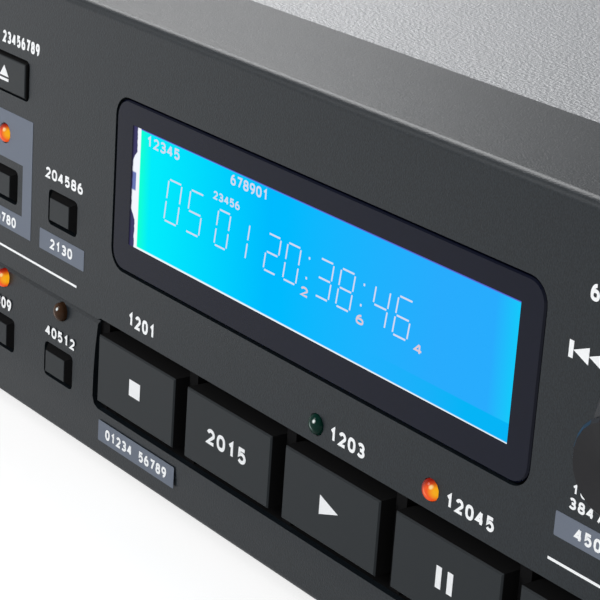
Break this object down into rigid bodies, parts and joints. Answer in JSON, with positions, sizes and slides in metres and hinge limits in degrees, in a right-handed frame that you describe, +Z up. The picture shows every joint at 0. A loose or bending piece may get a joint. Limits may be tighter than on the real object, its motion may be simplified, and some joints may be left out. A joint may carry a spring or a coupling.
{
  "type": "rack-mount disc player",
  "caption": "Rack-height disc player with a motorised tray, backlit display window, a row of flat transport keys, push-and-turn dial, level knob, disc deck and rear sockets.",
  "frame": {"origin": "middle of the four rack slots, on the back face of the rack ears, halfway up the panel", "axes": "+X along the panel to the right seen from the front, +Y from the panel into the case, +Z up"},
  "size_m": [0.4826, 0.3106, 0.0452],
  "materials": {
    "panel_paint": "fine matte dark grey",
    "smoked_window": "glossy smoked acrylic",
    "cell": "backlit liquid crystal cell",
    "black_plastic": "fine matte",
    "key_plastic": "fine matte with crisp edges",
    "orange_lamp": "clear tinted epoxy",
    "dark_lamp": "clear tinted epoxy, unlit",
    "board": "green solder mask",
    "switch": "moulded",
    "sensor": "deep red smoked",
    "dial_plastic": "fine matte",
    "cover_paint": "fine grained paint",
    "zinc": "zinc plated",
    "rubber": "matte",
    "tray_plastic": "moulded, fine grain",
    "gear_plastic": "natural acetal",
    "motor_steel": "drawn and plated",
    "clamp_plastic": "moulded",
    "lens_unit": "die cast",
    "core": "lacquered laminations",
    "can": "sleeved can",
    "sink": "extruded",
    "ribbon": "flat cable",
    "brass": "gold plated"
  },
  "bodies": {
    "case": {"front_panel": "panel_paint", "display_window": "smoked_window", "display_cell": "cell", "display_frame": "black_plastic", "orange_lamps": "orange_lamp", "unlit_lamps": "dark_lamp", "front_board": "board", "key_switches": "switch", "sensor_window": "sensor", "dial_encoder": "switch", "power_switch": "switch", "phones_jack": "black_plastic", "level_control": "zinc", "case_pan": "zinc", "back_plate": "cover_paint", "top_cover": "cover_paint", "feet": "rubber", "loader_frame": "black_plastic", "loading_motor": "motor_steel", "clamp_bridge": "zinc", "main_board": "board", "power_board": "board", "transformer": "core", "capacitors": "can", "heat_sink": "sink", "front_ribbon": "ribbon", "mains_inlet": "black_plastic", "line_jacks": "brass", "serial_port": "zinc"},
    "tray": {"disc_tray": "tray_plastic", "tray_door": "panel_paint"},
    "tray_pinion": {"tray_pinion": "gear_plastic"},
    "motor_gear": {"motor_gear": "gear_plastic"},
    "deck": {"disc_deck": "zinc", "guide_rods": "motor_steel", "spindle_motor": "motor_steel", "sled_motor": "motor_steel"},
    "turntable": {"turntable": "black_plastic"},
    "pickup": {"laser_pickup": "lens_unit"},
    "sled_screw": {"sled_screw": "motor_steel"},
    "clamp_puck": {"clamp_puck": "clamp_plastic"},
    "level_knob": {"level_knob": "dial_plastic"},
    "power_button": {"power_button": "key_plastic"},
    "encoder_plunger": {"encoder_plunger": "switch"},
    "jog_dial": {"jog_dial": "dial_plastic"},
    "stop_key": {"stop_key": "key_plastic"},
    "call_key": {"call_key": "key_plastic"},
    "play_key": {"play_key": "key_plastic"},
    "pause_key": {"pause_key": "key_plastic"},
    "search_back_key": {"search_back_key": "key_plastic"},
    "search_ahead_key": {"search_ahead_key": "key_plastic"},
    "eject_key": {"eject_key": "key_plastic"},
    "shift_key": {"shift_key": "key_plastic"},
    "display_key": {"display_key": "key_plastic"},
    "cue_key": {"cue_key": "key_plastic"},
    "flash_key": {"flash_key": "key_plastic"},
    "repeat_key": {"repeat_key": "key_plastic"},
    "random_key": {"random_key": "key_plastic"},
    "program_key": {"program_key": "key_plastic"}
  },
  "joints": [
    {"name": "stop_key_press", "type": "slide", "parent": "case", "child": "stop_key", "axis": [0, 1, 0], "range_m": [0, 0.0009], "stiffness_N_per_m": 600, "springref_m": -0.0005},
    {"name": "call_key_press", "type": "slide", "parent": "case", "child": "call_key", "axis": [0, 1, 0], "range_m": [0, 0.0009], "stiffness_N_per_m": 600, "springref_m": -0.0005},
    {"name": "play_key_press", "type": "slide", "parent": "case", "child": "play_key", "axis": [0, 1, 0], "range_m": [0, 0.0009], "stiffness_N_per_m": 600, "springref_m": -0.0005},
    {"name": "pause_key_press", "type": "slide", "parent": "case", "child": "pause_key", "axis": [0, 1, 0], "range_m": [0, 0.0009], "stiffness_N_per_m": 600, "springref_m": -0.0005},
    {"name": "search_back_key_press", "type": "slide", "parent": "case", "child": "search_back_key", "axis": [0, 1, 0], "range_m": [0, 0.0009], "stiffness_N_per_m": 600, "springref_m": -0.0005},
    {"name": "search_ahead_key_press", "type": "slide", "parent": "case", "child": "search_ahead_key", "axis": [0, 1, 0], "range_m": [0, 0.0009], "stiffness_N_per_m": 600, "springref_m": -0.0005},
    {"name": "eject_key_press", "type": "slide", "parent": "case", "child": "eject_key", "axis": [0, 1, 0], "range_m": [0, 0.0009], "stiffness_N_per_m": 600, "springref_m": -0.0005},
    {"name": "shift_key_press", "type": "slide", "parent": "case", "child": "shift_key", "axis": [0, 1, 0], "range_m": [0, 0.0009], "stiffness_N_per_m": 600, "springref_m": -0.0005},
    {"name": "display_key_press", "type": "slide", "parent": "case", "child": "display_key", "axis": [0, 1, 0], "range_m": [0, 0.0009], "stiffness_N_per_m": 600, "springref_m": -0.0005},
    {"name": "cue_key_press", "type": "slide", "parent": "case", "child": "cue_key", "axis": [0, 1, 0], "range_m": [0, 0.0009], "stiffness_N_per_m": 600, "springref_m": -0.0005},
    {"name": "flash_key_press", "type": "slide", "parent": "case", "child": "flash_key", "axis": [0, 1, 0], "range_m": [0, 0.0009], "stiffness_N_per_m": 600, "springref_m": -0.0005},
    {"name": "repeat_key_press", "type": "slide", "parent": "case", "child": "repeat_key", "axis": [0, 1, 0], "range_m": [0, 0.0009], "stiffness_N_per_m": 600, "springref_m": -0.0005},
    {"name": "random_key_press", "type": "slide", "parent": "case", "child": "random_key", "axis": [0, 1, 0], "range_m": [0, 0.0009], "stiffness_N_per_m": 600, "springref_m": -0.0005},
    {"name": "program_key_press", "type": "slide", "parent": "case", "child": "program_key", "axis": [0, 1, 0], "range_m": [0, 0.0009], "stiffness_N_per_m": 600, "springref_m": -0.0005},
    {"name": "power_press", "type": "slide", "parent": "case", "child": "power_button", "axis": [0, 1, 0], "range_m": [0, 0.003], "stiffness_N_per_m": 400, "springref_m": -0.001},
    {"name": "level_turn", "type": "hinge", "parent": "case", "child": "level_knob", "pos_m": [-0.155, -0.003, 0.005], "axis": [0, -1, 0], "range_deg": [-150, 150]},
    {"name": "dial_push", "type": "slide", "parent": "case", "child": "encoder_plunger", "axis": [0, 1, 0], "range_m": [0, 0.0004], "stiffness_N_per_m": 800, "springref_m": -0.0005},
    {"name": "dial_turn", "type": "hinge", "parent": "encoder_plunger", "child": "jog_dial", "pos_m": [0.11275, -0.003, 0.0065], "axis": [0, -1, 0], "continuous": true},
    {"name": "tray_slide", "type": "slide", "parent": "case", "child": "tray", "axis": [0, -1, 0], "range_m": [0, 0.13]},
    {"name": "pinion_turn", "type": "hinge", "parent": "case", "child": "tray_pinion", "pos_m": [-0.022, 0.029, -0.004], "axis": [0, 0, 1], "range_deg": [0, 1070]},
    {"name": "motor_turn", "type": "hinge", "parent": "case", "child": "motor_gear", "pos_m": [-0.04, 0.029, -0.004], "axis": [0, 0, 1], "range_deg": [-3730, 0]},
    {"name": "deck_tilt", "type": "hinge", "parent": "case", "child": "deck", "pos_m": [-0.069, 0.183, -0.00395], "axis": [1, 0, 0], "range_deg": [0, 5.05]},
    {"name": "turntable_spin", "type": "hinge", "parent": "deck", "child": "turntable", "pos_m": [-0.069, 0.065, 0.005], "axis": [0, 0, 1], "continuous": true},
    {"name": "pickup_slide", "type": "slide", "parent": "deck", "child": "pickup", "axis": [0, 1, 0], "range_m": [0, 0.034]},
    {"name": "sled_screw_turn", "type": "hinge", "parent": "deck", "child": "sled_screw", "pos_m": [-0.0978, 0.097, -0.0081], "axis": [0, 1, 0], "range_deg": [0, 4085]},
    {"name": "puck_spin", "type": "hinge", "parent": "case", "child": "clamp_puck", "pos_m": [-0.069, 0.065, 0.009], "axis": [0, 0, 1], "continuous": true}
  ],
  "couplings": [
    {"joint": "pinion_turn", "follows": "tray_slide", "rad_per_m": 142.86},
    {"joint": "motor_turn", "follows": "tray_slide", "rad_per_m": -500},
    {"joint": "deck_tilt", "follows": "tray_slide", "rad_per_m": 0.67128},
    {"joint": "sled_screw_turn", "follows": "pickup_slide", "rad_per_m": 2094.4},
    {"joint": "puck_spin", "follows": "turntable_spin", "ratio": 1}
  ]
}
